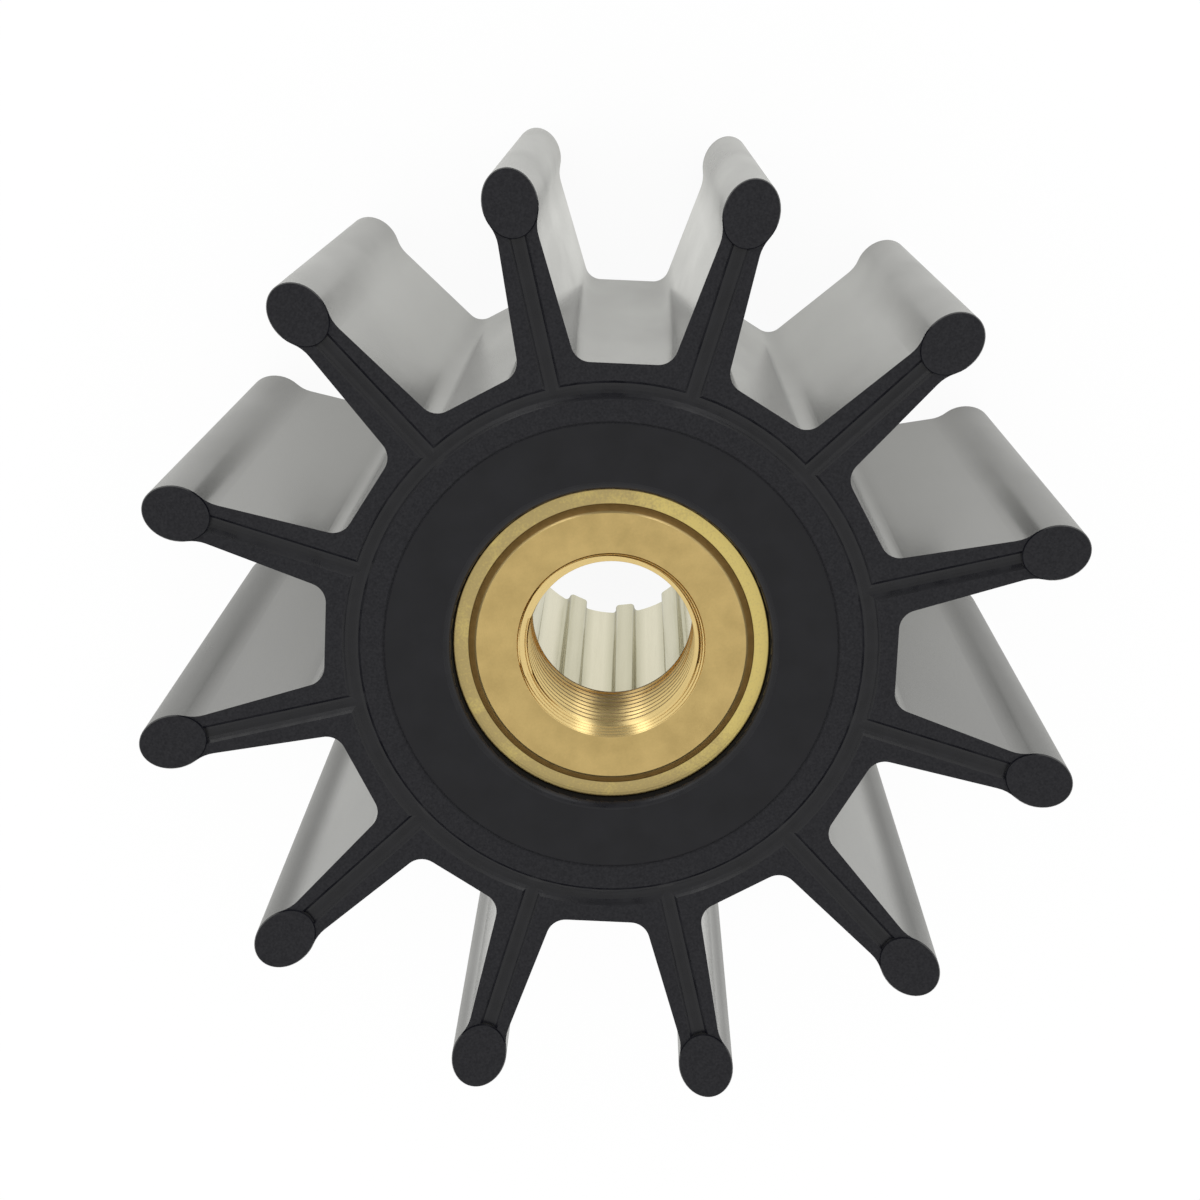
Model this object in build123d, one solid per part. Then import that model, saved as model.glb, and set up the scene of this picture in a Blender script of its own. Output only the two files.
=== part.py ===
from build123d import *
import os
from math import asin, cos, degrees, isclose, radians, sin, sqrt

# A flexible impeller for a marine raw-water pump: one rubber moulding, a hub with twelve
# beaded blades, bonded round a brass sleeve with a splined bore. A brass bush with a
# puller thread closes the front of the sleeve.
# Frame: Z is the shaft axis and the front, threaded end is up. The rear bead ends stand
# on z = 0, and one blade points along +X. All sizes are in millimetres.

# --- rubber moulding ---
blade_count = 12
tip_diameter = 95.0
overall_length = 81.0
hub_across_flats = 55.8

bead_radial_length = 6.8
bead_width = 5.4
bead_stand = 0.2             # the bead ends stand this far past the blade ends
bead_edge_round = 0.1

blade_thickness_at_root = 5.3
blade_root_radius = 30.0
blade_thickness_at_neck = 4.0
blade_neck_radius = 40.2
neck_blend = 4.0
root_fillet = 1.95
blade_inner_radius = 22.3    # the blades' drawn outlines start here, inside the hub

face_groove_width = 1.8      # half-round channels in both end faces
face_groove_depth = 0.45
ring_groove_radius = 25.35

recess_radius = 22.2         # the face inside this circle is moulded, not ground
recess_depth = 0.08
witness_line_width = 0.3     # a fine V-shaped line round the recess
witness_line_depth = 0.1
mouth_round = 0.8
arc_steps = 6                # channels and mouths are rounded in this many short straight steps

# --- brass sleeve ---
sleeve_diameter = 31.2
sleeve_inset = 1.95          # from the bead ends to the sleeve's end faces
sleeve_edge_chamfer = 0.15
counterbore_diameter = 27.9
rear_counterbore_depth = 8.6

spline_tooth_count = 12
spline_major_diameter = 23.6
spline_minor_diameter = 21.6
spline_tooth_width = 2.25
spline_corner_round = 0.42
spline_clocking = 23.3       # degrees from a blade to a tooth

# --- threaded bush ---
bush_length = 15.2
bush_stand = 0.7             # the bush face stands proud of the sleeve's front face
bush_rim_chamfer = 0.75
thread_minor_diameter = 16.38    # M18 x 1.5
thread_mouth_diameter = 18.5
bush_rear_chamfer = 0.3

# --- levels and radii that follow ---
tip_radius = tip_diameter / 2
bead_centre_radius = tip_radius - bead_radial_length / 2
hub_flat_radius = hub_across_flats / 2
blade_pitch = 360 / blade_count

rear_face = bead_stand
front_face = overall_length - bead_stand

sleeve_rear = sleeve_inset
sleeve_front = overall_length - sleeve_inset
bush_front = sleeve_front + bush_stand
bush_rear = bush_front - bush_length

same_size = 0.01             # edges this close to a radius are taken to be on it


def blade_half_thickness(radius):
    """Half the thickness of the straight, tapered flank at a radius."""
    taper = (blade_thickness_at_root - blade_thickness_at_neck) / (blade_neck_radius - blade_root_radius)
    return (blade_thickness_at_root - taper * (radius - blade_root_radius)) / 2


def blade_outline():
    """One blade along +X: a tapered flank that blends into the elliptical bead."""
    inner = blade_inner_radius
    outer = bead_centre_radius
    corners = [
        (inner, -blade_half_thickness(inner)),
        (outer, -blade_half_thickness(outer)),
        (outer, blade_half_thickness(outer)),
        (inner, blade_half_thickness(inner)),
    ]
    flank = make_face(Polyline(corners, close=True))
    bead = Pos(bead_centre_radius, 0) * Ellipse(bead_radial_length / 2, bead_width / 2)
    outline = flank + bead
    necks = [v for v in outline.vertices() if blade_root_radius < v.X < bead_centre_radius]
    return fillet(necks, neck_blend)


def star_outline():
    """The hub prism and its blades, with the root fillets."""
    hub = RegularPolygon(hub_flat_radius, blade_count, major_radius=False)
    star = hub + [Rot(0, 0, blade_pitch * i) * blade_outline() for i in range(blade_count)]
    corner_radius = hub_flat_radius / cos(radians(blade_pitch / 2))
    roots = [v for v in star.vertices() if sqrt(v.X ** 2 + v.Y ** 2) < corner_radius + root_fillet / 2]
    return fillet(roots, root_fillet)


def bead_end_boss():
    """The raised end of a bead, a thin disc with a softened edge, drawn upwards from z = 0."""
    half_length = bead_radial_length / 2
    half_width = bead_width / 2
    base = Ellipse(half_length, half_width)
    top = Pos(0, 0, bead_stand) * Ellipse(half_length - bead_edge_round, half_width - bead_edge_round)
    return Pos(bead_centre_radius, 0) * loft([base, top], ruled=True)


def arc_points(centre_x, centre_y, radius, start, end):
    """Points along an arc, from a start to an end angle in degrees."""
    angles = [radians(start + (end - start) * i / arc_steps) for i in range(arc_steps + 1)]
    return [(centre_x + radius * cos(a), centre_y + radius * sin(a)) for a in angles]


def channel_section():
    """The section of a channel that is cut into a face: a shallow arc, closed above the face."""
    half_width = face_groove_width / 2
    radius = (half_width ** 2 + face_groove_depth ** 2) / (2 * face_groove_depth)
    reach = degrees(asin(half_width / radius))
    bottom = arc_points(0, radius - face_groove_depth, radius, 270 - reach, 270 + reach)
    top = [(half_width, face_groove_depth), (-half_width, face_groove_depth)]
    return make_face(Polyline(bottom + top, close=True))


def face_grooves():
    """Cutters for one end face at z = 0: a ring channel and a channel out along each blade."""
    ring = revolve(Plane.XZ * (Pos(ring_groove_radius, 0) * channel_section()), Axis.Z)
    along_blade = Plane(origin=(ring_groove_radius, 0, 0), x_dir=(0, 1, 0), z_dir=(1, 0, 0))
    spoke = extrude(along_blade * channel_section(), bead_centre_radius - ring_groove_radius)
    spoke -= Pos(bead_centre_radius, 0, -face_groove_depth) * extrude(
        Ellipse(bead_radial_length / 2, bead_width / 2), 2 * face_groove_depth)
    return [ring] + [Rot(0, 0, blade_pitch * i) * spoke for i in range(blade_count)]


def hub_face_recess():
    """Cutter for one end face at z = 0: the moulded centre, its witness line and the rounded mouth."""
    half_width = witness_line_width / 2
    sleeve_radius = sleeve_diameter / 2
    mouth = arc_points(sleeve_radius + mouth_round, -recess_depth - mouth_round, mouth_round, 180, 90)
    section = [(0, recess_depth), (0, mouth[0][1])] + mouth + [
        (recess_radius - half_width, -recess_depth),
        (recess_radius, -recess_depth - witness_line_depth),
        (recess_radius + half_width, 0),
        (recess_radius + half_width, recess_depth),
    ]
    return revolve(Plane.XZ * make_face(Polyline(section, close=True)), Axis.Z)


def rims(shape, radius):
    """The circular edges of a shape with this radius, from the rear to the front."""
    circles = shape.edges().filter_by(GeomType.CIRCLE)
    return ShapeList([e for e in circles if isclose(e.radius, radius, abs_tol=same_size)]).sort_by(Axis.Z)


def on_both_faces(shapes):
    """Copies of shapes drawn for a face at z = 0, set on the front face and mirrored to the rear."""
    front = [Pos(0, 0, front_face) * s for s in shapes]
    rear = [Pos(0, 0, rear_face) * mirror(s, about=Plane.XY) for s in shapes]
    return front + rear


def rubber_impeller():
    """The whole moulding, hub and blades in one piece, the same at both ends."""
    body = Pos(0, 0, rear_face) * extrude(star_outline(), front_face - rear_face)
    body -= Cylinder(sleeve_diameter / 2, 2 * overall_length)
    for cutter in on_both_faces([hub_face_recess()] + face_grooves()):
        body -= cutter
    bosses = [Rot(0, 0, blade_pitch * i) * bead_end_boss() for i in range(blade_count)]
    return body + on_both_faces(bosses)


def spline_bore(length):
    """Cutter for the splined bore: the major circle less its straight-sided teeth."""
    major = spline_major_diameter / 2
    minor = spline_minor_diameter / 2
    height = major - minor
    tooth = Pos(minor + height, 0) * Rectangle(2 * height, spline_tooth_width)
    bore = Circle(major) - [
        Rot(0, 0, spline_clocking + 360 / spline_tooth_count * i) * tooth for i in range(spline_tooth_count)]
    bore = fillet(bore.vertices(), spline_corner_round)
    return extrude(bore, length)


def splined_sleeve():
    """The brass insert: a turned tube, counterbored at both ends and splined between them."""
    length = sleeve_front - sleeve_rear
    tube = Pos(0, 0, sleeve_rear) * Cylinder(
        sleeve_diameter / 2, length, align=(Align.CENTER, Align.CENTER, Align.MIN))
    tube = chamfer(rims(tube, sleeve_diameter / 2), sleeve_edge_chamfer)
    tube -= Pos(0, 0, sleeve_rear) * spline_bore(length)
    tube -= Pos(0, 0, bush_rear) * Cylinder(
        counterbore_diameter / 2, length, align=(Align.CENTER, Align.CENTER, Align.MIN))
    tube -= Pos(0, 0, sleeve_rear + rear_counterbore_depth) * Cylinder(
        counterbore_diameter / 2, length, align=(Align.CENTER, Align.CENTER, Align.MAX))
    return tube


def puller_thread_bush():
    """The threaded bush, seated in the front counterbore. The bore is at the thread's minor size."""
    bush = Pos(0, 0, bush_rear) * Cylinder(
        counterbore_diameter / 2, bush_length, align=(Align.CENTER, Align.CENTER, Align.MIN))
    bush = chamfer(rims(bush, counterbore_diameter / 2)[-1], bush_rim_chamfer)
    bush -= Cylinder(thread_minor_diameter / 2, 2 * overall_length)
    mouth = (thread_mouth_diameter - thread_minor_diameter) / 2
    bush = chamfer(rims(bush, thread_minor_diameter / 2)[-1], mouth)
    return chamfer(rims(bush, thread_minor_diameter / 2)[0], bush_rear_chamfer)


os.makedirs("parts", exist_ok=True)
for name, make in [
    ("rubber_impeller", rubber_impeller),
    ("splined_sleeve", splined_sleeve),
    ("puller_thread_bush", puller_thread_bush),
]:
    shape = make()
    export_step(shape, f"parts/{name}.step")
    print(f"{name}: {shape.volume / 1000:.2f} cm3, {len(shape.solids())} solid, {len(shape.faces())} faces")
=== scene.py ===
# %% [markdown]
# # Rubber pump impeller
#
# A flexible impeller from a marine raw-water pump: one black rubber moulding with twelve
# beaded blades, bonded round a splined brass sleeve, with a threaded brass bush seated in
# the sleeve's front end. The CAD solids already have the right shape, so this lesson is
# mostly about finish: how satin rubber, ground rubber and machined brass each answer the
# light, and how to cut a real screw thread with a formula.

# %% Load the frame
from math import cos, pi, radians, sin

import bmesh
import bpy
import numpy as np
from mathutils import Matrix, Vector


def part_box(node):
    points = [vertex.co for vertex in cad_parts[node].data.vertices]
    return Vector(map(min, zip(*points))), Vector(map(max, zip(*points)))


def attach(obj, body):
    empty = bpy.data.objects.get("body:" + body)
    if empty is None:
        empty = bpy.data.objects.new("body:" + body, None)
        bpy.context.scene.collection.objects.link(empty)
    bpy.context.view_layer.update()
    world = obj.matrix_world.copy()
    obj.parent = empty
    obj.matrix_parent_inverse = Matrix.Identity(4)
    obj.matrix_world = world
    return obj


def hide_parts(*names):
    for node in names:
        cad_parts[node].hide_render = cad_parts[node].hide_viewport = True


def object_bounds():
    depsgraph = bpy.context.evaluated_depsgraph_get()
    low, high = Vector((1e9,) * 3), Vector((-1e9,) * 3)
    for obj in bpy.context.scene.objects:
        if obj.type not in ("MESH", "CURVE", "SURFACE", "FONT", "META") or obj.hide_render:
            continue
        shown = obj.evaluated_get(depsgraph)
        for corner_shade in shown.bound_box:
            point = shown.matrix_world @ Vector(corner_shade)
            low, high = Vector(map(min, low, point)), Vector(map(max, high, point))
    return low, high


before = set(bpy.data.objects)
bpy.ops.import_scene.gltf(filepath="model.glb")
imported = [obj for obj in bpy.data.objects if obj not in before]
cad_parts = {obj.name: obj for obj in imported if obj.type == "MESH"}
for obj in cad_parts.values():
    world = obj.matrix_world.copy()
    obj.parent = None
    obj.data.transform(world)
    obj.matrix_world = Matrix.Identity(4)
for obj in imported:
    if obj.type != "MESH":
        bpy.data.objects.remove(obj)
cad_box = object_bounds()
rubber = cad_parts["rubber_impeller"]
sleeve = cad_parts["splined_sleeve"]
mm = 0.001

tip_radius = cad_box[1].x
front_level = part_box("rubber_impeller")[1].z
print(f"impeller: {2 * tip_radius / mm:.1f} mm across, {front_level / mm:.1f} mm long")

# %% [markdown]
# ## The camera
#
# The viewer looks nearly straight down the shaft from close by, so the front face is large
# and the blades run away to a smaller rear end. A long lens far away would flatten that,
# so the distance matters more than the lens. A camera looks along its own -Z, which is
# why its Z axis is built pointing backwards, from the aim to the camera.

# %% Place the camera
camera_place = Vector((15.76, 60.34, 350.16)) * mm
camera_aim = Vector((0.01, 4.95, 80.96)) * mm
picture_up = Vector((0.2098, 0.9552, -0.2088))
lens = 85.11
sensor = 36.0
nearest_seen = 0.01          # metres

camera = bpy.data.objects.new("camera", bpy.data.cameras.new("camera"))
bpy.context.scene.collection.objects.link(camera)
camera.data.lens = lens
camera.data.sensor_width = sensor
camera.data.clip_start = nearest_seen

backwards = (camera_place - camera_aim).normalized()
sideways = picture_up.cross(backwards).normalized()
upwards = backwards.cross(sideways)
turned = Matrix((sideways, upwards, backwards)).transposed().to_4x4()
camera.matrix_world = Matrix.Translation(camera_place) @ turned
bpy.context.scene.camera = camera
print(f"camera: {(camera_place - camera_aim).length / mm:.0f} mm from the front face")

# %% [markdown]
# ## Helpers for node materials
#
# Every finish below is a small network of nodes. Writing each node by hand takes three
# lines for one idea: make it, set it, link it. One helper does all three, and takes either
# a plain value or another node's output for each input. The next two are short names for
# the nodes that turn up most: arithmetic, and a ramp from one value to another.

# %% Add a node and wire it
def add(tree, kind, inputs=None, **settings):
    """Add a shader node; inputs are values or sockets by name or number, settings are its properties."""
    made = tree.nodes.new("ShaderNode" + kind)
    for name, value in settings.items():
        setattr(made, name, value)
    for name, value in (inputs or {}).items():
        if isinstance(value, bpy.types.NodeSocket):
            tree.links.new(value, made.inputs[name])
        else:
            made.inputs[name].default_value = value
    return made


def blank(block):
    """Switch a material or world to nodes and empty it."""
    block.use_nodes = True
    block.node_tree.nodes.clear()
    return block.node_tree


# %% Arithmetic and ramps
def maths(tree, operation, *values, clamp=False):
    """One arithmetic node on values or sockets; clamp keeps its result between 0 and 1."""
    return add(tree, "Math", dict(enumerate(values)), operation=operation, use_clamp=clamp).outputs[0]


def ramp(tree, value, start, end, low=0.0, high=1.0):
    """Go from low to high while a value goes from start to end, and stay level beyond."""
    made = add(tree, "MapRange", {"Value": value, "From Min": start, "From Max": end,
                                  "To Min": low, "To Max": high})
    return made.outputs["Result"]


# %% [markdown]
# ## Textures measured in millimetres
#
# Grain that is right at one size looks wrong at another, so every texture here starts from
# the position on the object in millimetres. A noise scale of 4 then means four lumps to
# the millimetre. Stretching the coordinate along the shaft turns the lumps into streaks.
# A turned part is the same all the way round, so many finishes only ask for the radius.

# %% Where a point lies, in millimetres
def position_mm(tree, stretch=(1, 1, 1)):
    """The position on the object in millimetres, scaled along each axis."""
    place = add(tree, "TexCoord").outputs["Object"]
    scale = [s / mm for s in stretch]
    return add(tree, "VectorMath", {0: place, 1: scale}, operation="MULTIPLY").outputs[0]


def along(tree, place, direction):
    """How far a place or a ray goes in a direction."""
    return add(tree, "VectorMath", {0: place, 1: direction}, operation="DOT_PRODUCT").outputs["Value"]


def radius_mm(tree):
    """The distance from the shaft's axis in millimetres."""
    flat = add(tree, "VectorMath", {0: position_mm(tree), 1: (1, 1, 0)}, operation="MULTIPLY")
    return add(tree, "VectorMath", {0: flat.outputs[0]}, operation="LENGTH").outputs["Value"]


def height_mm(tree):
    """The height along the shaft in millimetres."""
    return add(tree, "SeparateXYZ", {0: position_mm(tree)}).outputs["Z"]


# %% Waves and noise
noise_middle = (0.3, 0.7)    # nearly all of the noise lies between these


def wave(tree, distance, pitch_mm):
    """A wave from -1 to 1 that rises and falls once in each pitch of a distance."""
    return maths(tree, "SINE", maths(tree, "MULTIPLY", distance, 2 * pi / pitch_mm))


def noise(tree, position, per_mm, detail=2.0):
    """Cloudy noise from 0 to 1, with so many lumps to the millimetre."""
    return add(tree, "TexNoise", {"Vector": position, "Scale": per_mm, "Detail": detail}).outputs["Fac"]


def spread(tree, value, low, high):
    """Noise keeps near its middle, so its inner part is spread over low to high."""
    return ramp(tree, value, *noise_middle, low, high)


# %% [markdown]
# ## Colour, relief and one shader
#
# A finish is a colour, a roughness and a relief, fed into one Principled shader. Fine
# relief could be real geometry, but grain a hundredth of a millimetre deep would take
# millions of faces. A bump node only tilts the surface as the light sees it, and bumps can
# be stacked, each one lying on the one before.

# %% Colour, bump and the shader
def blend_colour(tree, share, first, second):
    """A colour between two, by a share from 0 to 1. Either may be another node's output."""
    colours = [c if isinstance(c, bpy.types.NodeSocket) else (*c, 1) for c in (first, second)]
    made = add(tree, "Mix", data_type="RGBA")
    sockets = (made.inputs["Factor"], made.inputs[6], made.inputs[7])    # 6 and 7 take colours
    for socket, value in zip(sockets, (share, *colours)):
        if isinstance(value, bpy.types.NodeSocket):
            tree.links.new(value, socket)
        else:
            socket.default_value = value
    return made.outputs[2]


def bump(tree, height, depth_mm, under=None):
    """Raise the surface by height times a depth; under is a bump that this one lies on."""
    inputs = {"Height": height, "Strength": 1.0, "Distance": depth_mm * mm}
    if under is not None:
        inputs["Normal"] = under
    return add(tree, "Bump", inputs).outputs[0]


def finish_with(tree, **inputs):
    """The one Principled shader of a material, joined to its output."""
    named = {name.replace("_", " "): value for name, value in inputs.items()}
    shader = add(tree, "BsdfPrincipled", named)
    add(tree, "OutputMaterial", {"Surface": shader.outputs[0]})
    return shader


# %% [markdown]
# ## A white room
#
# Black rubber seen along its surface is a mirror for whatever is behind it, and brass is
# one at every angle, so the room is part of the finish. To the eye it is plain white. In
# reflections the walls and the ceiling are dimmer than white, with a dark doorway between
# the lamps, so that chamfers and threads have something dark to mirror. Light Path tells
# these apart: it knows whether a ray comes from the camera, from a reflection or from a
# matt surface.

# %% The brightness of the room in reflections
walls = 0.75                 # 1 is white
overhead = 0.60
doorway = 0.22               # the wall between the lamps has this share of the others' brightness
towards_lamps = (0.21, 0.98, 0)
along_wall = (0.98, -0.21, 0)

# A ray's upward part is 0 at the horizon and 1 at the zenith. Its forward and sideways parts
# are told in the same way, towards the lamps and along the wall behind them.
wall_starts = (0.0, 0.03)
ceiling_starts = (0.3, 0.9)
doorway_front = (0.1, 0.4)
doorway_sides = (0.42, 0.22)
doorway_rises = (-0.4, 0.5)


def room_brightness(tree):
    """White below the horizon, dimmer walls and ceiling, and the doorway between the lamps."""
    ray = add(tree, "TexCoord").outputs["Generated"]
    up = add(tree, "SeparateXYZ", {0: ray}).outputs["Z"]
    wall = ramp(tree, up, *wall_starts, 1.0, walls)
    ceiling = ramp(tree, up, *ceiling_starts, 0.0, overhead - walls)
    bright = maths(tree, "ADD", wall, ceiling)

    in_front = ramp(tree, along(tree, ray, towards_lamps), *doorway_front)
    off_centre = maths(tree, "ABSOLUTE", along(tree, ray, along_wall))
    gap = maths(tree, "MULTIPLY", in_front, ramp(tree, off_centre, *doorway_sides))
    gap = maths(tree, "MULTIPLY", gap, ramp(tree, up, *doorway_rises))
    return maths(tree, "MULTIPLY", bright, ramp(tree, gap, 0.0, 1.0, 1.0, doorway))


# %% The world
fill_light = 0.95            # the room's light on matt surfaces
white = (1, 1, 1, 1)
mirrored_white = (1.0, 1.0, 0.95, 1)


def seen_directly(tree, path):
    """1 for rays from the eye, also through glass."""
    return maths(tree, "MAXIMUM", path.outputs["Is Camera Ray"], path.outputs["Is Transmission Ray"])


def mix_shaders(tree, share, first, second):
    """Two shader nodes mixed: all of the first where the share is 0, all of the second where it is 1."""
    return add(tree, "MixShader", {0: share, 1: first.outputs[0], 2: second.outputs[0]})


def white_world():
    """White where it is seen, an even light on matt surfaces, and its own brightness in reflections."""
    world = bpy.data.worlds.new("white_room")
    tree = blank(world)
    path = add(tree, "LightPath")
    light = add(tree, "Background", {"Color": white, "Strength": fill_light})
    mirrored = add(tree, "Background", {"Color": mirrored_white, "Strength": room_brightness(tree)})
    look = add(tree, "Background", {"Color": white, "Strength": 1.0})
    both = mix_shaders(tree, path.outputs["Is Glossy Ray"], light, mirrored)
    both = mix_shaders(tree, seen_directly(tree, path), both, look)
    add(tree, "OutputWorld", {"Surface": both.outputs[0]})
    return world


scene = bpy.context.scene
scene.view_settings.view_transform = "Standard"
scene.world = white_world()
print(f"room: walls {walls}, ceiling {overhead}, doorway {doorway * walls:.2f} in reflections")

# %% [markdown]
# ## The floor
#
# The flanks of the blades show the floor at a glancing angle, so it is white in reflections
# too, and brighter on the lamps' side of the shaft. The floor mixes some of its matt self
# back in: a little for the eye, which keeps a soft shadow, and more for reflections, where
# the shade between the blades belongs. Under the bore it keeps none of that shade, so that
# the splines have a clear white to mirror.

# %% The floor
floor_reach = 3.0            # metres to each side
floor_paint = (0.9, 0.9, 0.9, 1)
floor_glow = 1.02            # its brightness to the eye
far_side_glow = 0.95         # its brightness in reflections, at the shaft and on the far side of it
lamp_side_glow = 1.55        # and on the lamps' side, from glow_reach onwards
glow_reach = 45.0            # millimetres from the shaft
seen_shade = 0.08            # the matt share to the eye
mirrored_shade = 0.45        # and in reflections
bore_edge = 13.0             # millimetres from the shaft, where the shade is whole
bore_blur = 3.0              # and has gone this much further in


def white_floor():
    """A wide sheet under the object, white with a faint shadow."""
    mesh = bpy.data.meshes.new("floor")
    r = floor_reach
    mesh.from_pydata([(-r, -r, 0), (r, -r, 0), (r, r, 0), (-r, r, 0)], [], [(0, 1, 2, 3)])
    floor = bpy.data.objects.new("floor", mesh)
    bpy.context.scene.collection.objects.link(floor)
    material = bpy.data.materials.new("floor")
    tree = blank(material)
    path = add(tree, "LightPath")
    matt = add(tree, "BsdfDiffuse", {"Color": floor_paint})
    look = add(tree, "Emission", {"Color": white, "Strength": floor_glow})
    from_shaft = along(tree, position_mm(tree), towards_lamps)
    glow = ramp(tree, from_shaft, 0.0, glow_reach, far_side_glow, lamp_side_glow)
    mirrored = add(tree, "Emission", {"Color": mirrored_white, "Strength": glow})
    seen_share = maths(tree, "MULTIPLY", seen_directly(tree, path), 1 - seen_shade)
    in_bore = ramp(tree, radius_mm(tree), bore_edge, bore_edge - bore_blur)
    plain = ramp(tree, in_bore, 0.0, 1.0, 1 - mirrored_shade, 1.0)
    mirrored_share = maths(tree, "MULTIPLY", path.outputs["Is Glossy Ray"], plain)
    both = mix_shaders(tree, seen_share, matt, look)
    both = mix_shaders(tree, mirrored_share, both, mirrored)
    add(tree, "OutputMaterial", {"Surface": both.outputs[0]})
    mesh.materials.append(material)
    return floor


white_floor()
print(f"floor: {2 * floor_reach:.0f} m wide")

# %% [markdown]
# ## Two soft lamps
#
# A pair of tall softboxes stands beyond the top of the picture, left and right. Most of the
# light comes from the room, and these only draw the two glints in each chamfer and the two
# streaks down the thread. Such a glint is as narrow as the lamp looks from the object, and
# a tall lamp is mirrored by steep and by shallow slopes alike.

# %% Softboxes
lamp_width = 0.12
lamp_height = 0.70
lamp_brightness = 1.1        # on the room's own scale, where 1 is white
lamp_places = {"lamp_left": (-0.12, 0.53, 0.42), "lamp_right": (0.30, 0.454, 0.42)}
front_centre = Vector((0, 0, front_level))

for name, place in lamp_places.items():
    lamp = bpy.data.objects.new(name, bpy.data.lights.new(name, "AREA"))
    lamp.data.shape = "RECTANGLE"
    lamp.data.size = lamp_width
    lamp.data.size_y = lamp_height
    lamp.data.energy = lamp_brightness * pi * lamp_width * lamp_height
    lamp.location = place
    lamp.rotation_euler = (front_centre - lamp.location).to_track_quat("-Z", "Y").to_euler()
    scene.collection.objects.link(lamp)
    print(f"{name}: {lamp.location.length:.2f} m away")

# %% [markdown]
# ## Moulded rubber
#
# The moulded flanks copy the polished mould: a satin skin, black face on but pale at a
# glancing angle, where it mirrors the white room. That paleness comes from the shader's
# own Fresnel and isn't painted. The beads rub on the pump's housing and the hub is out of
# the polisher's reach, so both are a little duller.

# %% The moulded skin
bead_wear = 0.13             # added to the roughness of the beads
worn_from = (39.0, 44.0)     # radii in millimetres between which the wear sets in
hub_dullness = 0.07          # added to the roughness of the hub between the blades
dull_from = (31.0, 28.5)


def moulded_rubber():
    """Satin black, clouded and faintly streaked along the shaft, duller on the beads and the hub."""
    material = bpy.data.materials.new("moulded_rubber")
    tree = blank(material)
    bead = maths(tree, "MULTIPLY", ramp(tree, radius_mm(tree), *worn_from), bead_wear)
    hub = maths(tree, "MULTIPLY", ramp(tree, radius_mm(tree), *dull_from), hub_dullness)
    duller = maths(tree, "ADD", bead, hub)
    cloud = noise(tree, position_mm(tree, (1, 1, 0.3)), per_mm=0.12, detail=3.0)
    black = blend_colour(tree, spread(tree, cloud, 0, 1), (0.016, 0.016, 0.016), (0.026, 0.026, 0.025))
    streak = noise(tree, position_mm(tree, (1, 1, 0.04)), per_mm=1.4)
    relief = bump(tree, streak, depth_mm=0.004)
    finish_with(
        tree,
        Base_Color=black,
        Roughness=maths(tree, "ADD", spread(tree, cloud, 0.10, 0.15), duller),
        Normal=bump(tree, noise(tree, position_mm(tree), per_mm=5.0), depth_mm=0.001, under=relief),
    )
    return material


# %% [markdown]
# ## Ground faces, the recess and the channels
#
# The end faces were ground flat after moulding, so they are matt and grainy and stay dark.
# The recessed middle and the channels were never ground. The channels kept their skin, so
# their walls catch the lamps. How strongly a skin reflects is the same all over it, so it
# is set as a plain number on the shader.

# %% The faces, ground and as moulded
# painted shade: the recess is painted black between these radii, on the wall down to the brass
painted_mouth_shade_from = (16.2, 15.7)    # the recess turns black between these radii, down to the brass


def ground_rubber():
    """Matt black with a coarse grain, as grinding leaves it."""
    material = bpy.data.materials.new("ground_rubber")
    tree = blank(material)
    grain = noise(tree, position_mm(tree), per_mm=4.5, detail=3.0)
    shader = finish_with(
        tree,
        Base_Color=blend_colour(
            tree, spread(tree, grain, 0, 1), (0.0145, 0.0145, 0.017), (0.025, 0.025, 0.028)),
        Roughness=0.85,
        Normal=bump(tree, grain, depth_mm=0.03),
    )
    shader.inputs["Specular IOR Level"].default_value = 0.2
    return material


def recess_rubber():
    """Matt black, finer than the ground face, and painted blackest on the wall down to the brass, as
    shade.
    """
    material = bpy.data.materials.new("recess_rubber")
    tree = blank(material)
    cloud = noise(tree, position_mm(tree), per_mm=0.3, detail=3.0)
    face = blend_colour(tree, spread(tree, cloud, 0, 1), (0.0135, 0.0135, 0.0155), (0.018, 0.018, 0.0205))
    # painted shade on the wall down to the brass, where the sleeve's edge shades the rubber
    painted_mouth_shade = ramp(tree, radius_mm(tree), *painted_mouth_shade_from)
    shader = finish_with(
        tree,
        Base_Color=blend_colour(tree, painted_mouth_shade, face, (0.005, 0.005, 0.006)),
        Roughness=maths(tree, "MAXIMUM", spread(tree, cloud, 0.7, 0.8), painted_mouth_shade),
        Normal=bump(tree, noise(tree, position_mm(tree), per_mm=2.5), depth_mm=0.006),
    )
    shader.inputs["Specular IOR Level"].default_value = 0.25
    return material


# %% The channels and the mouth's lip
def channel_rubber():
    """Nearly black and half glossy, as the mould left it."""
    material = bpy.data.materials.new("channel_rubber")
    tree = blank(material)
    wear = noise(tree, position_mm(tree), per_mm=0.6, detail=3.0)
    finish_with(
        tree,
        Base_Color=blend_colour(
            tree, spread(tree, wear, 0, 1), (0.003, 0.003, 0.006), (0.007, 0.007, 0.011)),
        Roughness=spread(tree, wear, 0.22, 0.36),
        Normal=bump(tree, noise(tree, position_mm(tree), per_mm=3.5), depth_mm=0.006),
    )
    return material


# %% [markdown]
# ## One mesh, several finishes
#
# A mesh can carry several materials, and each face names the one that it wears. Choosing
# by where a face lies and which way it points keeps the borders crisp, and the mesh itself
# isn't touched. A mask inside one material would also work, but a mask can't change a
# value that has to stay a plain number, such as how strongly the skin reflects.

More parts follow.
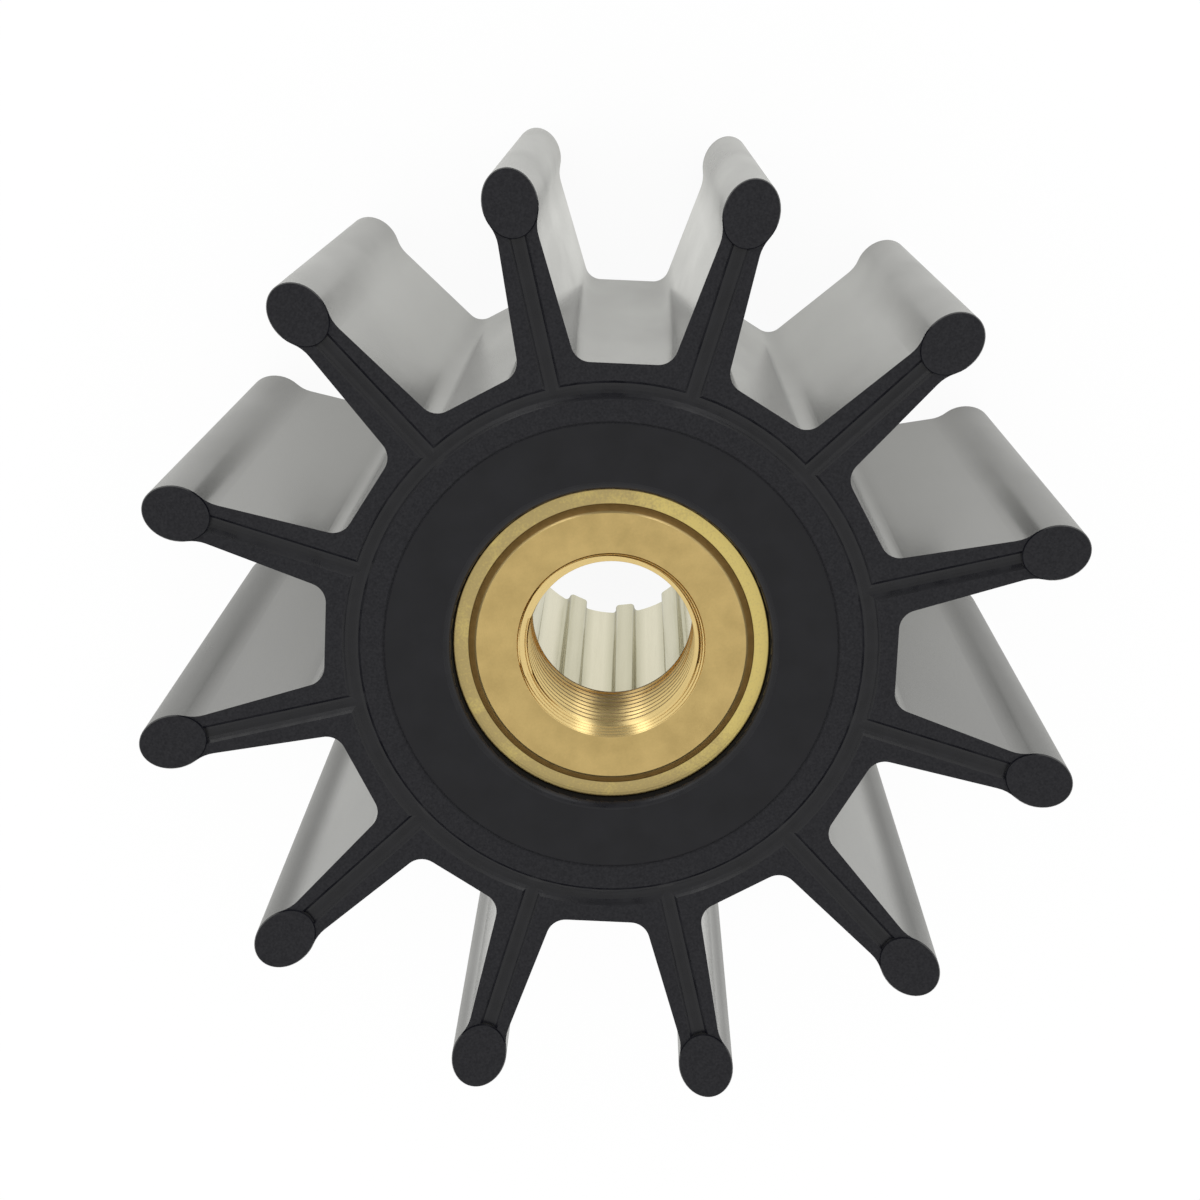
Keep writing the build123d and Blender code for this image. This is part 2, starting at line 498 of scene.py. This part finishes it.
# %% Give a mesh its finishes
def dress(node, finishes, choose):
    """Give a node a list of materials; choose returns a slot number for each face."""
    mesh = node.data
    count = len(mesh.polygons)
    centres, normals = np.empty(3 * count), np.empty(3 * count)
    mesh.polygons.foreach_get("center", centres)
    mesh.polygons.foreach_get("normal", normals)
    slots = choose(centres.reshape(-1, 3), normals.reshape(-1, 3))
    mesh.materials.clear()
    for material in finishes:
        mesh.materials.append(material)
    mesh.polygons.foreach_set("material_index", slots.astype(np.int32))
    print(node.name, {m.name: int((slots == i).sum()) for i, m in enumerate(finishes)})


# %% Choose a finish for each face of the rubber
face_depth = 0.9 * mm        # this near to an end, a face belongs to the end face
sleeve_mouth = 15.65 * mm
mouth_lip = 16.35 * mm
recess_radius = 22.0 * mm
witness_radius = 22.4 * mm
flat_on = 0.999              # faces that look straight along the shaft
leaning = 0.3                # faces that look at least partly along it


def rubber_slots(centres, normals):
    """0 moulded, 1 ground faces and the witness line, 2 the recessed middle, 3 channels and mouth lip."""
    radius = np.hypot(centres[:, 0], centres[:, 1])
    to_face = np.minimum(centres[:, 2], front_level - centres[:, 2])
    near_face = to_face < face_depth
    upright = np.abs(normals[:, 2])
    slots = np.zeros(len(centres))
    slots[near_face & (upright > leaning)] = 3
    slots[near_face & ((upright > flat_on) | (radius < witness_radius))] = 1
    slots[near_face & (radius < recess_radius)] = 2
    slots[near_face & (radius < mouth_lip) & (upright < flat_on)] = 3
    slots[radius < sleeve_mouth] = 2
    return slots


dress(rubber, [moulded_rubber(), ground_rubber(), recess_rubber(), channel_rubber()], rubber_slots)

# %% [markdown]
# ## Faced brass
#
# The ends of the sleeve and the bush are faced on a lathe, which leaves fine rings round
# the axis. A metal takes its colour from the Base Color, and a metallic value of 1 says so.
# The sleeve's face is brown along both of its edges, and its +X side is painted brighter and yellower, as
# a highlight, so its colour leans from -X to +X.

# %% Lathe-faced ends
seam_brown = (0.10, 0.055, 0.015)
seam_blur = 0.06             # millimetres over which the brown fades out
# painted sheen: between these millimetres along X the face is painted brighter and yellower, as a
# highlight
painted_sheen_span = (3.0, 15.0)    # millimetres along X between which a lopsided face turns yellow
uneven = 0.04                # the roughness varies by this much to each side


def faced_brass(name, pale, deep, pitch_mm, roughness, speckle, unbrowned_mm=(0.0, 100.0), painted_sheen=0.0):
    """Brass with rings round the shaft, clouded and speckled, and brown outside a band of radii.

    A face with a painted sheen is brighter and yellower towards +X, as a painted highlight."""
    material = bpy.data.materials.new(name)
    tree = blank(material)
    here = position_mm(tree)
    grain = noise(tree, here, per_mm=4.0, detail=3.0)
    cloud = spread(tree, noise(tree, here, per_mm=0.35, detail=4.0), 0, 1)
    across = add(tree, "SeparateXYZ", {0: here}).outputs["X"]
    # painted sheen: the +X side is painted lighter and yellower, as a highlight on the faced brass
    painted_sheen_share = ramp(tree, across, *painted_sheen_span, -0.5 * painted_sheen, painted_sheen)
    cloud = maths(tree, "ADD", cloud, painted_sheen_share, clamp=True)
    cloud = maths(tree, "ADD", cloud, spread(tree, grain, -speckle, speckle), clamp=True)
    rings = bump(tree, wave(tree, radius_mm(tree), pitch_mm), depth_mm=0.002)
    inner = ramp(tree, radius_mm(tree), unbrowned_mm[0] - seam_blur, unbrowned_mm[0])
    outer = ramp(tree, radius_mm(tree), unbrowned_mm[1] + seam_blur, unbrowned_mm[1])
    undarkened = maths(tree, "MULTIPLY", inner, outer)
    finish_with(
        tree,
        Base_Color=blend_colour(tree, undarkened, seam_brown, blend_colour(tree, cloud, deep, pale)),
        Metallic=1.0,
        Roughness=spread(tree, grain, roughness - uneven, roughness + uneven),
        Normal=bump(tree, grain, depth_mm=0.009, under=rings),
    )
    return material


# %% [markdown]
# ## Cut brass
#
# Chamfers and the thread are cut with a finer tool, so they are smoother and mirror the lamps as narrow
# glints. Painted shade darkens the thread deep inside and along its crests, standing in for the shade
# between the turns. Such shade could be painted on an image, but here radius and height alone say where
# it lies, so two ramps do the same and stay sharp from any distance.

# %% Cut chamfers and threads
sleeve_low, sleeve_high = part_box("splined_sleeve")
tool_pitch = 0.24            # millimetres from one tool line to the next
painted_shade_depths = (14.0, 4.0)  # millimetres below the sleeve's face: painted shade deepest, then none
crest_fade = (-0.01, 0.02)   # millimetres outside the crests between which their painted shade ends
print(f"sleeve: {(sleeve_high.z - sleeve_low.z) / mm:.1f} mm long")


def cut_brass(name, metal, dark, crest_mm, roughness, line_depth_mm):
    """Smooth brass with tool lines, painted darker as shade on the thread's crests and deep inside."""
    material = bpy.data.materials.new(name)
    tree = blank(material)
    # painted shade: the crests and the deep turns are darkened in the colour, standing in for the shade
    # between the turns
    off_crest = ramp(tree, radius_mm(tree), *[crest_mm + fade for fade in crest_fade])
    shallow = ramp(tree, height_mm(tree), *[sleeve_high.z / mm - depth for depth in painted_shade_depths])
    unshaded_by_depth = ramp(tree, shallow, 0.0, 1.0, 0.4, 1.0)
    shade_lifted = ramp(tree, shallow, 0.0, 1.0, 0.0, 0.6)
    undarkened = maths(tree, "MULTIPLY", maths(tree, "MAXIMUM", off_crest, shade_lifted), unshaded_by_depth)
    finish_with(
        tree,
        Base_Color=blend_colour(tree, undarkened, dark, metal),
        Metallic=1.0,
        Roughness=ramp(tree, off_crest, 0.0, 1.0, 0.6, roughness),
        Normal=bump(tree, wave(tree, height_mm(tree), tool_pitch), line_depth_mm),
    )
    return material


# %% [markdown]
# ## Broached splines
#
# A broach pulled through the sleeve cuts all the teeth at once and leaves streaks along the shaft. The
# corners of the teeth are painted darker, as the shade that falls in them. The corners could be picked
# out one by one, but they repeat: the angle round the shaft times the number of teeth has a cosine that
# comes back once in every tooth, and that takes one value at all the corners.

# %% Streaked brass with painted shade in the corners
tooth_count = 12
tooth_turn = 23.3            # degrees from the X axis to a tooth
corner_turn = 5.75           # degrees from a tooth's middle to its corners
corner_cosine = cos(radians(tooth_count * corner_turn))
corner_fade = (1.15, 0.3)    # differences of cosine between which the painted shade sets in
print(f"teeth: {tooth_count}, with corners {corner_turn} degrees to each side of their middles")


def near_tooth_corners(tree):
    """1 along the corners of the spline's teeth, fading out beside them."""
    place = add(tree, "SeparateXYZ", {0: position_mm(tree)})
    turn = maths(tree, "ARCTAN2", place.outputs["Y"], place.outputs["X"])
    phase = maths(tree, "MULTIPLY_ADD", turn, tooth_count, -radians(tooth_count * tooth_turn))
    off = maths(tree, "SUBTRACT", maths(tree, "COSINE", phase), corner_cosine)
    return ramp(tree, maths(tree, "ABSOLUTE", off), *corner_fade)


def broached_brass(name, pale, deep, corner_shade):
    """Brass with streaks along the shaft, as a broach leaves it, and painted darker in the teeth's
    corners, as shade.
    """
    material = bpy.data.materials.new(name)
    tree = blank(material)
    streak = noise(tree, position_mm(tree, (1, 1, 0.03)), per_mm=2.5, detail=3.0)
    flat = blend_colour(tree, spread(tree, streak, 0, 1), deep, pale)
    finish_with(
        tree,
        Base_Color=blend_colour(tree, near_tooth_corners(tree), flat, corner_shade),
        Metallic=1.0,
        Roughness=spread(tree, streak, 0.18, 0.26),
        Normal=bump(tree, streak, depth_mm=0.004),
    )
    return material


# %% [markdown]
# ## Dress the sleeve
#
# The sleeve wears these three finishes. As on the rubber, each face gets its own by where
# it lies and which way it points: flat ends, chamfered rims, and the walls between them.

# %% Give the sleeve its finishes
sleeve_bore = 13.95          # radii in millimetres
sleeve_outside = 15.6
rim_chamfer = 0.15
seam_widths = (0.10, 0.08)   # the brown seams along the bore and along the rim
unbrowned_band = (sleeve_bore + seam_widths[0], sleeve_outside - rim_chamfer - seam_widths[1])
end_depth = 0.5 * mm         # this near to an end, a face of the sleeve belongs to the end
end_flat = 0.95              # flat ends look this far along the shaft
rim_leaning = 0.5            # and chamfered rims this far


def sleeve_slots(centres, normals):
    """0 faced ends, 1 broached walls, 2 the cut rims."""
    near_end = np.minimum(centres[:, 2] - sleeve_low.z, sleeve_high.z - centres[:, 2]) < end_depth
    upright = np.abs(normals[:, 2])
    slots = np.ones(len(centres))
    slots[(upright > rim_leaning) & near_end] = 2
    slots[(upright > end_flat) & near_end] = 0
    return slots


dress(sleeve, [
    # the sleeve's face has a painted sheen on its +X side
    faced_brass("sleeve_brass_faced", (1.0, 0.80, 0.29), (0.67, 0.52, 0.235), pitch_mm=0.25,
                roughness=0.35, speckle=0.3, unbrowned_mm=unbrowned_band, painted_sheen=1.0),
    # the broached brass's last colour is the painted shade in the teeth's corners
    broached_brass("sleeve_brass_broached", (0.72, 0.67, 0.49), (0.62, 0.57, 0.39), (0.45, 0.415, 0.25)),
    # seam_brown here is the painted shade deep inside the sleeve
    cut_brass("sleeve_brass_cut", (0.90, 0.74, 0.42), seam_brown, crest_mm=0.0,
              roughness=0.2, line_depth_mm=0.0),
], sleeve_slots)

# %% [markdown]
# ## A thread from a formula
#
# The bush has an internal M18 x 1.5 thread, for the puller that draws the impeller off its
# shaft. The CAD bore is plain, at the thread's smallest size, so this piece replaces it. A
# thread could be made by screwing a small profile round the axis, but its ends are then
# hard to close. Here each column of points is the bush's outline at one angle, with the
# profile raised by that angle's share of the pitch, and joining column to column makes a
# helix.

# %% Bush and thread sizes, in millimetres
bush_low, bush_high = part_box("puller_thread_bush")
bush_rear = bush_low.z / mm
bush_front = bush_high.z / mm
bush_radius = bush_high.x / mm
rim_steps = ((36, 0.20), (45, 0.84))    # the rim's slopes in degrees and lengths, outwards

thread_pitch = 1.5
thread_minor = 16.38 / 2
thread_major = 18.0 / 2
mouth_radius = 18.5 / 2
rear_chamfer = 0.3
thread_start = 0.178         # turns the thread round, so that it ends well in the mouth's chamfer
print(f"thread: {(bush_front - bush_rear) / thread_pitch:.1f} turns in {bush_front - bush_rear:.1f} mm")


# %% The bore's radius at any place
crest_end, root_start, root_end = 4 / 16, 9 / 16, 11 / 16    # shares of the pitch


def thread_radius(climb):
    """The wall's radius at a share of the pitch: crest, flank, root and flank again."""
    return float(np.interp(climb % 1.0, (0, crest_end, root_start, root_end, 1),
                           (thread_minor, thread_minor, thread_major, thread_major, thread_minor)))


def bore_radius(height, climb):
    """The bore's radius at a height: the thread, opened by the mouth's and the rear's chamfers."""
    mouth = mouth_radius - (bush_front - height)
    rear = thread_minor + rear_chamfer - (height - bush_rear)
    return max(thread_radius(climb), mouth, rear)


print(f"bore: radius {bore_radius(bush_front, 0):.2f} mm at the mouth, {thread_minor:.2f} at the crests")

# %% [markdown]
# ## One column of points
#
# A column goes up the bore, out over the rim and down the outside. Its rows follow the
# thread's corners, so that crests and roots stay crisp with few points. Rows that would lie
# past an end are held back at it, where they fall together and are merged later.

# %% The bush's outline at one angle
row_sixteenths = (0, 2, 4, 6.5, 9, 11, 13.5)    # where one turn's rows lie, in sixteenths of the pitch
spare_turns = 3              # rows past both ends, which are then held back at them


def bush_column(turn):
    """One closed outline of the bush at a share of a full turn, as (radius, height) points."""
    turns = int((bush_front - bush_rear) / thread_pitch) + spare_turns
    climbs = [t + s / 16 for t in range(-1, turns - 1) for s in row_sixteenths]
    points = []
    for climb in climbs:
        height = bush_rear + (climb + turn - thread_start) * thread_pitch
        kept = min(max(height, bush_rear), bush_front)
        points.append((bore_radius(kept, (kept - bush_rear) / thread_pitch - turn + thread_start), kept))
    radius = bush_radius - sum(length * cos(radians(slope)) for slope, length in rim_steps)
    height = bush_front
    points.append((radius, height))
    for slope, length in rim_steps:
        radius += length * cos(radians(slope))
        height -= length * sin(radians(slope))
        points.append((radius, height))
    points.append((bush_radius, bush_rear))
    return points


print(f"column: {len(bush_column(0))} points")

# %% [markdown]
# ## Join the columns
#
# Quads join each column to the next. After a whole turn the thread has climbed by one pitch,
# so the last column falls on the first, one turn of rows further up. Merging points that
# fall together closes the bush, and the number of open edges, which is printed, should be 0.

# %% Join the columns
column_count = 120
merged_within = 0.002 * mm
sharp_from = radians(25)     # edges that bend more than this stay sharp


def grid_faces(columns, rows):
    """Quads that join each column's points to the next column's. Each column is a closed loop."""
    quads = []
    for c in range(columns):
        for r in range(rows):
            here, beside, up = c * rows, (c + 1) * rows, (r + 1) % rows
            quads.append((here + r, beside + r, beside + up, here + up))
    return quads


def threaded_bush():
    """The bush as columns of points, where the last column meets the first one turn further up."""
    points = []
    for c in range(column_count + 1):
        angle = 2 * pi * c / column_count
        column = bush_column(c / column_count)
        points += [(r * cos(angle) * mm, r * sin(angle) * mm, z * mm) for r, z in column]
    mesh = bpy.data.meshes.new("threaded_bush")
    mesh.from_pydata(points, [], grid_faces(column_count, len(column)))
    work = bmesh.new()
    work.from_mesh(mesh)
    bmesh.ops.remove_doubles(work, verts=work.verts, dist=merged_within)
    bmesh.ops.dissolve_degenerate(work, edges=work.edges, dist=merged_within)
    bmesh.ops.recalc_face_normals(work, faces=work.faces)
    open_edges = sum(not edge.is_manifold for edge in work.edges)
    print(f"bush: {len(work.faces)} faces, {open_edges} open edges")
    work.to_mesh(mesh)
    work.free()
    mesh.shade_smooth()
    mesh.set_sharp_from_angle(angle=sharp_from)
    return mesh


# %% [markdown]
# ## The bush's rim
#
# The rim sinks into the groove between the bush and the sleeve, so it is painted brown and less metallic
# than brass, with lighter patches, as the shade in that groove. Only its inner edge is left bright brass.
# Two materials would meet in a hard line there, so it is one material with a ramp across the edge.

# %% Brass with painted shade on the rim
shade_lift_fade = (0.05, -0.02)     # millimetres outside the edge, between which the painted shade gives way to bright brass
patch_strength = 1.25        # patches of the painted brown are this much lighter


def groove_shaded_brass(name, metal, rim_shade_brown, edge_mm):
    """A chamfer painted brown and less metallic as shade, left bright brass inside a radius."""
    material = bpy.data.materials.new(name)
    tree = blank(material)
    shade_lifted = ramp(tree, radius_mm(tree), *[edge_mm + fade for fade in shade_lift_fade])
    patches = noise(tree, position_mm(tree), per_mm=1.2, detail=3.0)
    lighter = [patch_strength * c for c in rim_shade_brown]
    brown = blend_colour(tree, spread(tree, patches, 0, 1), rim_shade_brown, lighter)
    finish_with(
        tree,
        Base_Color=blend_colour(tree, shade_lifted, brown, metal),
        Metallic=ramp(tree, shade_lifted, 0.0, 1.0, 0.6, 1.0),
        Roughness=0.3,
    )
    return material


# %% Build and dress the threaded bush
half_way_out = 11 * mm       # a radius between the thread and the rim


def bush_slots(centres, normals):
    """0 the faced ends, 1 the mouth and the thread, 2 the rim and the outside."""
    radius = np.hypot(centres[:, 0], centres[:, 1])
    return np.where(np.abs(normals[:, 2]) > end_flat, 0, np.where(radius < half_way_out, 1, 2))


bush = bpy.data.objects.new("threaded_bush", threaded_bush())
scene.collection.objects.link(bush)
dress(bush, [
    faced_brass("bush_brass_faced", (0.88, 0.64, 0.265), (0.72, 0.52, 0.21), pitch_mm=0.16,
                roughness=0.32, speckle=0.12),
    # the second colour is the painted shade on the crests and the deep turns
    cut_brass("bush_brass_cut", (1.0, 0.755, 0.34), (0.26, 0.15, 0.05), crest_mm=thread_minor,
              roughness=0.22, line_depth_mm=0.005),
    # the rim's brown is painted shade in the groove between the bush and the sleeve
    groove_shaded_brass("bush_brass_rim", (0.90, 0.67, 0.30), (0.36, 0.215, 0.068), edge_mm=13.35),
], bush_slots)
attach(bush, "root")
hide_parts("puller_thread_bush")
